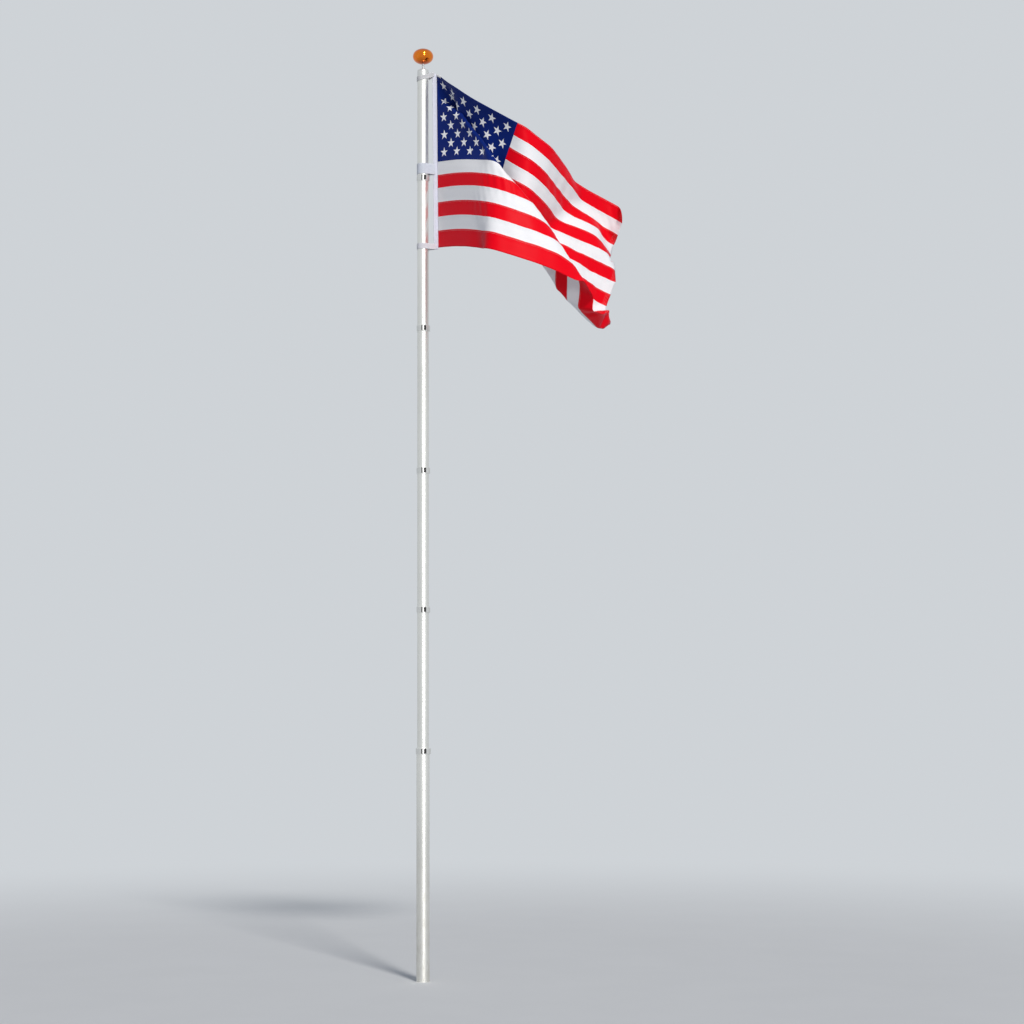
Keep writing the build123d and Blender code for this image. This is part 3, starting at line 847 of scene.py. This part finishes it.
def webbing_finish(name, height):
    """Woven polyester webbing, with ribs along it and stitched edges."""
    material, tree, surface = finish(
        name, Sheen_Weight=0.25, Sheen_Roughness=0.4, Specular_IOR_Level=0.3
    )
    flat = flat_place(tree)
    weave = placed(tree, "weave", Flat=flat, Threads=700.0)
    soil = noise(object_place(tree), 70.0, 5.0, 0.65)
    along, up, _ = axes_of(flat)
    from_row = abs(up - height / 2) - (height / 2 - mm(4))
    thread = placed(tree, "stitch", Along=along, Off=from_row, Pitch=mm(4), Width=mm(.6))["Mask"]
    base = mixed(ranged(weave["Shade"], 0.35, 0.65), *tones[name])
    soiled = tuple(0.75 * part for part in tones[name][1][:3]) + (1,)
    base = mixed(ranged(soil, 0.45, 0.8, 0.0, 0.4), base, soiled)
    colour = mixed(thread * 0.6, base, thread_white)
    rough = ranged(weave["Height"], -1.0, 1.0, 0.75, 0.55)
    woven = bump(weave["Height"], 0.35, mm(.4))
    cover(surface, colour, rough, bump(thread, 0.4, mm(.5), woven))
    return material


# The flag's sewing, in metres: seams between the stripes and the hem at the fly
seam_middle = mm(3.5)
seam_rows = mm(1.2), mm(6.2)
hem_width = mm(27)
hem_rows = mm(3), mm(10), mm(18), mm(25)


def flag_finish():
    """Sewn nylon stripes, canton and embroidered stars, with felled seams and a stitched fly hem."""
    material, tree, surface = finish(
        "flag_cloth", Sheen_Weight=0.08, Sheen_Roughness=0.35, Sheen_Tint=sheen_tint, Specular_IOR_Level=0.05,
    )
    share, up, _ = axes_of(flat_place(tree))
    across = share * fly
    level = (1.0 - up) * stripes
    down = level * stripe_height
    place = put(tree, "CombineXYZ", 0, {"X": across, "Y": down})
    weave = placed(tree, "weave", Flat=place, Threads=1100.0)
    odd = level % 2.0 > 1.0
    in_canton = (across < fly * canton_fly) * (level < canton_stripes)
    star = placed(tree, "stars", Across=across, Down=level, Radius=star_radius)["Mask"] * in_canton
    fade = noise(place, (3, 4, 1), 4.0)
    red, white, blue = (mixed(fade, *tones[name]) for name in ("red", "white", "blue"))
    colour = mixed(star, mixed(in_canton, mixed(odd, red, white), blue), star_white)

    # Felled seams and the hem have more plies, so they are deeper in colour, and carry rows of stitches
    def stitched(along, off):
        return placed(tree, "stitch", Along=along, Off=off, Pitch=mm(3.5), Width=mm(.4))["Mask"]

    off = ((level + 0.5) % 1.0 - 0.5) * stripe_height
    sewn = calc("MAXIMUM", 1.0 - in_canton, level > canton_stripes - 0.5)
    seam = calc("COMPARE", off, seam_middle, seam_middle) * sewn
    in_seams = largest(*(stitched(across, off - row) for row in seam_rows)) * sewn
    threads = largest(in_seams, *(stitched(down, across - (fly - row)) for row in hem_rows))
    plies = calc("MAXIMUM", seam, across > fly - hem_width)
    deep = put(tree, "Gamma", 0, {"Color": colour, "Gamma": 1.8})
    tone = mixed(threads * 0.35, mixed(plies * 0.22, colour, deep), flag_thread)
    # Painted shade between the threads: up to a tenth of the way to near-black, by the weave's uneven noise
    tone = mixed(ranged(weave["Shade"], *noise_span, 0.0, 0.1), tone, painted_thread_shadow)

    # The stitches draw the cloth in, so it puckers beside each seam and along the fly hem
    beside_seam = ranged(abs(off - seam_middle), mm(3), mm(16), 1.0, 0.0) * sewn
    beside_hem = ranged(across, fly - mm(50), fly - mm(20))
    pucker = beside_seam * noise(place, (95, 14, 1), 2.0) + beside_hem * noise(place, (14, 95, 1), 2.0)
    relief = bump(weave["Height"], 0.12, mm(.15))
    relief = bump(pucker, 0.35, mm(3.5), relief)
    relief = bump(star * 0.6 + plies, 0.5, mm(.6), relief)
    relief = bump(threads, 0.4, mm(.4), relief)
    cover(surface, tone, ranged(weave["Height"], -1.0, 1.0, 0.50, 0.36), relief)
    return material


# Meshes
def new_piece(name, mesh, material, body):
    """A mesh as a smooth piece of the scene, on its body."""
    obj = bpy.data.objects.new(name, mesh)
    bpy.context.scene.collection.objects.link(obj)
    mesh.materials.append(material)
    for face in mesh.polygons:
        face.use_smooth = True
    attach(obj, body)
    return obj


def thickened(obj, thickness, selvedge=None):
    """A sheet gets its thickness, and webbing its rounded selvedge."""
    solid = obj.modifiers.new("ply", "SOLIDIFY")
    solid.thickness = thickness
    solid.offset = 0.0
    solid.use_even_offset = True
    if selvedge:
        round_edge = obj.modifiers.new("selvedge", "BEVEL")
        round_edge.width = selvedge
        round_edge.segments = 2
        round_edge.limit_method = "ANGLE"
        round_edge.angle_limit = radians(40)


def mapped_grid(name, points, widths, heights):
    """A sheet from rows of points, with its flat map."""
    rows, columns = points.shape[:2]
    mesh = bpy.data.meshes.new(name)
    index = np.arange(rows * columns).reshape(rows, columns)
    quads = np.stack([index[:-1, :-1], index[1:, :-1], index[1:, 1:], index[:-1, 1:]], -1).reshape(-1, 4)
    mesh.from_pydata(points.reshape(-1, 3).tolist(), [], quads.tolist())
    across, down = np.meshgrid(widths, heights)
    flat = np.stack([across, down], -1).reshape(-1, 2)
    layer = mesh.uv_layers.new(name="flat")
    layer.data.foreach_set("uv", flat[quads.reshape(-1)].reshape(-1))
    return mesh


def raised_sheet(bm, edges, height, steps):
    """Edges drawn straight up into a sheet, in even steps."""
    for _ in range(steps):
        made = bmesh.ops.extrude_edge_only(bm, edges=edges)["geom"]
        fresh = [part for part in made if isinstance(part, bmesh.types.BMVert)]
        bmesh.ops.translate(bm, verts=fresh, vec=(0, 0, height / steps))
        edges = [part for part in made if isinstance(part, bmesh.types.BMEdge)]
        edges = [edge for edge in edges if abs(edge.verts[0].co.z - edge.verts[1].co.z) < 1e-6]


def flat_map(bm, flat_of):
    """Each point of a sheet gets its flat place."""
    layer = bm.loops.layers.uv.new("flat")
    for face in bm.faces:
        for loop in face.loops:
            loop[layer].uv = flat_of(loop.vert)


def sewn_piece(name, bm, finish_name):
    """A finished sheet as a piece that moves with the flag."""
    bmesh.ops.recalc_face_normals(bm, faces=bm.faces)
    mesh = bpy.data.meshes.new(name)
    bm.to_mesh(mesh)
    bm.free()
    return new_piece(name, mesh, finishes[finish_name], "flag")


# Flag
def cloth_lines():
    """Grid lines of the finished cloth, closer together beside seams and hems."""
    in_stripe = (0, .1, .2, .34, .5, .66, .8, .92)
    levels = [(level + part) / stripes for level in range(stripes) for part in in_stripe] + [1.0]
    in_hem = (1 - mm(18) / fly, 1 - mm(9) / fly, 1.0)
    return np.append(np.linspace(0, 1 - hem_width / fly, 270), in_hem), np.array(levels)


# Small folds pressed in or blown into the cloth: share and level of the middle, reach each way,
# length of one fold along the fly in metres, its slant, and its height in metres
small_folds = [
    (.36, 8.4, .09, 1.2, .046, .5, .0016), (.30, 10.2, .07, .9, .052, .5, .0010),
    (.55, 5.6, .10, 1.6, .070, -.4, .0014), (.70, 2.2, .12, 1.8, .090, .3, .0018),
    (.90, 6.5, .07, 2.2, .060, .6, .0014), (.20, 3.2, .12, 2.0, .060, -.9, .0012),
    (.50, 11.6, .16, 1.2, .110, .2, .0016), (.92, 1.0, .06, 1.2, .050, .8, .0012),
]
flat_beside_hoist = .03


def small_fold_heights(shares, levels):
    """How far each place stands out by the small folds."""
    share, level = np.meshgrid(shares, levels * stripes)
    height = 0 * share
    for middle, row, reach_x, reach_z, length, slant, most in small_folds:
        along = share * fly - slant * level * hoist / stripes
        near = np.exp(-((share - middle) / reach_x) ** 2 - ((level - row) / reach_z) ** 2)
        height += most * near * np.sin(2 * pi * along / length + 1.3 * np.sin(level + middle * 9))
    return height * np.clip(share / flat_beside_hoist, 0, 1)


def flag_cloth(hung):
    """The flag's cloth on fine grid lines, with its small folds and its thickness."""
    shares, levels = cloth_lines()
    points = resampled(hung, shares, levels)
    out = np.cross(np.gradient(points, axis=0), np.gradient(points, axis=1))
    out /= np.linalg.norm(out, axis=-1, keepdims=True)
    points = points + out * small_fold_heights(shares, levels)[..., None]
    mesh = mapped_grid("flag_cloth_sewn", points, shares, 1 - levels)
    obj = new_piece("flag_cloth_sewn", mesh, flag_finish(), "flag")
    plies = obj.modifiers.new("plies", "SOLIDIFY")
    plies.thickness = mm(.8)
    plies.offset = 0
    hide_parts("flag_cloth")


tube_radius = mm(29)
heading_left, heading_top, heading_run, heading_lean = mm(47), mm(4549), mm(914), mm(8)
heading_wide = mm(22)
heading_ply = mm(0.9)
half_heading = mm(1.3)
corner_slope = radians(33)
heading_rows = 120
# The tape puckers and sways by so many radians in a metre of its height
pucker_turn, sway_turn = 420, 9


def heading_tape():
    """White canvas tape folded round the cloth's hoist edge, coloured grey-lavender as painted shade."""
    half = half_heading - heading_ply / 2
    front = [(mm(.4), half * .6), (mm(1.2), half), (heading_wide * .5, half), (heading_wide, half)]
    fold = [(x, -y) for x, y in reversed(front)] + [(0, 0)] + front
    bm = bmesh.new()
    points = [bm.verts.new((x, y, 0)) for x, y in fold]
    raised_sheet(bm, [bm.edges.new(pair) for pair in zip(points, points[1:])], 1, heading_rows)

    def flat_of(vert):
        x, y, share = vert.co
        return share * heading_run, x if y < 0 else 2 * heading_wide - x

    flat_map(bm, flat_of)
    for vert in bm.verts:
        x, y, share = vert.co
        z = heading_top - heading_run + share * (heading_run - x * tan(corner_slope))
        left = heading_left + heading_lean * (heading_top - z) / heading_run
        pucker = mm(.25) * sin(z * pucker_turn) * (x / heading_wide)
        sway = mm(.5) * sin(z * sway_turn) * x / heading_wide
        vert.co = (left + x, y + pucker + sway, z)
    obj = sewn_piece("heading_tape_sewn", bm, "heading_tape")
    thickened(obj, heading_ply)
    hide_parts("heading")


strap_ply = mm(2.0)
half_over_heading = mm(1.6)
round_steps, strap_rows = 72, 8


def straight_run(bm, start, goal):
    """Four edges in a straight line from a point, and the point that they end at."""
    first = start.co.copy()
    for share in (.25, .5, .75, 1):
        onward = bm.verts.new(first.lerp(goal, share))
        bm.edges.new((start, onward))
        start = onward
    return start


def strap(name, node, bore, end_x, low, high, finish_name, climb=0.0):
    """Webbing that goes round the pole and comes together as two plies, one each side of the heading."""
    radius = bore + strap_ply / 2
    gap = half_over_heading + strap_ply / 2
    wrap = atan((radius - gap) / end_x)
    bm = bmesh.new()
    run_layer = bm.verts.layers.float.new("run")
    start = bm.verts.new((end_x, -gap, 0))
    touch = straight_run(bm, start, Vector((radius * sin(wrap), -radius * cos(wrap), 0)))
    turned = bmesh.ops.spin(
        bm, geom=[touch], cent=(0, 0, 0), axis=(0, 0, 1), angle=-(2 * pi - 2 * (pi / 2 - wrap)),
        steps=round_steps, use_merge=False, use_duplicate=False,
    )
    straight_run(bm, turned["geom_last"][0], Vector((end_x, gap, 0)))
    # Each point gets its length along the webbing
    length_at = {start: 0.0}
    here, run = start, 0.0
    while True:
        onward = [e.other_vert(here) for e in here.link_edges if e.other_vert(here) not in length_at]
        if not onward:
            break
        run += (onward[0].co - here.co).length
        here = onward[0]
        length_at[here] = run
    for vert in bm.verts:
        vert.co.z = 0
        vert[run_layer] = length_at[vert]
    height = high - low
    raised_sheet(bm, list(bm.edges), height, strap_rows)
    flat_map(bm, lambda vert: (vert[run_layer], vert.co.z))
    for vert in bm.verts:
        x, _, z = vert.co
        vert.co.z = low + z + climb * ((x + radius) / (end_x + radius)) ** 2
    obj = sewn_piece(name, bm, finish_name)
    thickened(obj, strap_ply, mm(.5))
    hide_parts(node)


def corner_patch(hung):
    """Webbing folded over the cloth's top edge at the corner."""
    length, width, gap = mm(46), mm(12), mm(1.5)
    shares = np.linspace(0, length / fly, 13)
    sides = np.array([-1, -1.3, -1.4, -1, 0, 1, 1.4, 1.3, 1])
    drops = np.array([.7, .4, .1, -.2, -.3, -.2, .1, .4, .7]) * width
    cloth = resampled(hung, shares, [0, width / hoist])
    down = (cloth[1] - cloth[0]) / width
    out = np.cross(down, np.gradient(cloth[0], axis=0))
    out /= np.linalg.norm(out, axis=-1, keepdims=True)
    points = cloth[0] + drops[:, None, None] * down + sides[:, None, None] * gap * out
    run = np.concatenate([[0], np.cumsum(np.hypot(np.diff(drops), np.diff(sides) * gap))])
    mesh = mapped_grid("corner_patch_sewn", points, shares * fly, run)
    obj = new_piece("corner_patch_sewn", mesh, finishes["patch_webbing"], "flag")
    thickened(obj, mm(1.2))
    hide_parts("corner_patch")


finishes = {
    "tube": tube_finish(), "latch": latch_finish(), "cap": cap_finish(), "ball": copper_finish(),
    "pin": steel_finish("pin_steel", 0.22, 0.36), "stem": steel_finish("stem_steel", 0.20, 0.34),
}
heights = {"top_webbing": 26, "strap_webbing": 54, "low_webbing": 28, "patch_webbing": 24, "heading_tape": 44}
for name, height in heights.items():
    finishes[name] = webbing_finish(name, mm(height))
for collar in collars:
    low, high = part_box(collar)
    finishes[collar] = cast_finish(collar + "_casting", low.z, high.z)
dressed = {
    "_tube": "tube", "_latch": "latch", "_latch_pin": "pin", "pole_cap": "cap",
    "finial_stem": "stem", "finial_ball": "ball", **{collar: collar for collar in collars},
}
for node_name, solid in nodes.items():
    for ending, finish_name in dressed.items():
        if node_name.endswith(ending):
            solid.data.materials.clear()
            solid.data.materials.append(finishes[finish_name])

strap_bore = tube_radius + mm(.3)
top_bore, top_end, top_foot, top_head = strap_bore + mm(.3), mm(56), mm(4500), mm(4523)
strap("top_strap_sewn", "top_strap", top_bore, top_end, top_foot, top_head, "top_webbing", climb=mm(26))
for node_name, finish_name in (("middle_strap", "strap_webbing"), ("bottom_strap", "low_webbing")):
    low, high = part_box(node_name)
    strap(node_name + "_sewn", node_name, strap_bore, high.x, low.z, high.z, finish_name)
heading_tape()
hung = hung_cloth()
flag_cloth(hung)
corner_patch(hung)


# Studio
def looked_at(tree):
    """Whether a ray comes from the camera, or from a mirror or glass that it looks at."""
    rays = put(tree, "LightPath", 0).socket.node.outputs
    return largest(*(Value(rays[f"Is {kind} Ray"]) for kind in ("Camera", "Glossy", "Transmission")))


def sun(name, energy, width, colour, turn, rise):
    """A soft far lamp, so many degrees to the right of the front and above the ground."""
    data = bpy.data.lights.new(name, "SUN")
    data.energy = energy
    data.angle = radians(width)
    data.color = colour
    lamp = bpy.data.objects.new(name, data)
    bpy.context.scene.collection.objects.link(lamp)
    turn, rise = radians(turn), radians(rise)
    towards = Vector((sin(turn) * cos(rise), -cos(turn) * cos(rise), sin(rise)))
    lamp.rotation_euler = towards.to_track_quat("Z", "Y").to_euler()


def studio():
    """Pale floor that fades into the backdrop, an even fill and two soft lamps."""
    bm = bmesh.new()
    bmesh.ops.create_circle(bm, cap_ends=True, segments=96, radius=30)
    mesh = bpy.data.meshes.new("studio_floor")
    bm.to_mesh(mesh)
    bm.free()
    floor = bpy.data.objects.new("studio_floor", mesh)
    bpy.context.scene.collection.objects.link(floor)
    material, tree, surface = finish("floor_paint", Roughness=0.8, Specular_IOR_Level=0.2)
    place = object_place(tree)
    mottle = noise(place, 2.0, 5.0)
    feed(surface.inputs["Base Color"], mixed(mottle, *tones["floor"]))
    away = put(tree, "VectorMath", "Value", {0: place}, operation="LENGTH")
    far = ranged(away, 2.0, 9.0, interpolation_type="SMOOTHSTEP") * looked_at(tree)
    glow = put(tree, "Emission", 0, {"Color": backdrop, "Strength": 1.0})
    blend = put(tree, "MixShader", 0, {0: far, 1: Value(surface.outputs[0]), 2: glow})
    feed(tree.nodes["Material Output"].inputs["Surface"], blend)
    mesh.materials.append(material)

    world = bpy.data.worlds.new("studio")
    bpy.context.scene.world = world
    world.use_nodes = True
    tree = world.node_tree
    tree.nodes.clear()
    seen_ray = looked_at(tree)
    fill = put(tree, "Background", 0, {"Color": sky_fill, "Strength": 0.34})
    shown = put(tree, "Background", 0, {"Color": backdrop, "Strength": 1.0})
    blend = put(tree, "MixShader", 0, {0: seen_ray, 1: fill, 2: shown})
    feed(tree.nodes.new("ShaderNodeOutputWorld").inputs["Surface"], blend)

    sun("key", 2.3, 9, key_light, 20, 38)
    # A weaker lamp at the height of the eye draws the long highlight down the pole
    sun("low_key", 0.7, 12, (1, 1, 1), 17, 5)


sensor_width = 36.0
focal_pixels = 2215
image_width = 1024
camera_place = (0.4435, -11.0, 1.33)
camera_pitch, camera_roll = radians(5.07), radians(-0.2)


def camera():
    data = bpy.data.cameras.new("camera")
    data.sensor_width = sensor_width
    data.lens = sensor_width * focal_pixels / image_width
    eye_camera = bpy.data.objects.new("camera", data)
    bpy.context.scene.collection.objects.link(eye_camera)
    eye_camera.location = camera_place
    turn = Matrix.Rotation(radians(90) + camera_pitch, 4, "X") @ Matrix.Rotation(camera_roll, 4, "Z")
    eye_camera.rotation_euler = turn.to_euler()
    bpy.context.scene.camera = eye_camera


studio()
camera()
bpy.context.scene.view_settings.view_transform = "Standard"
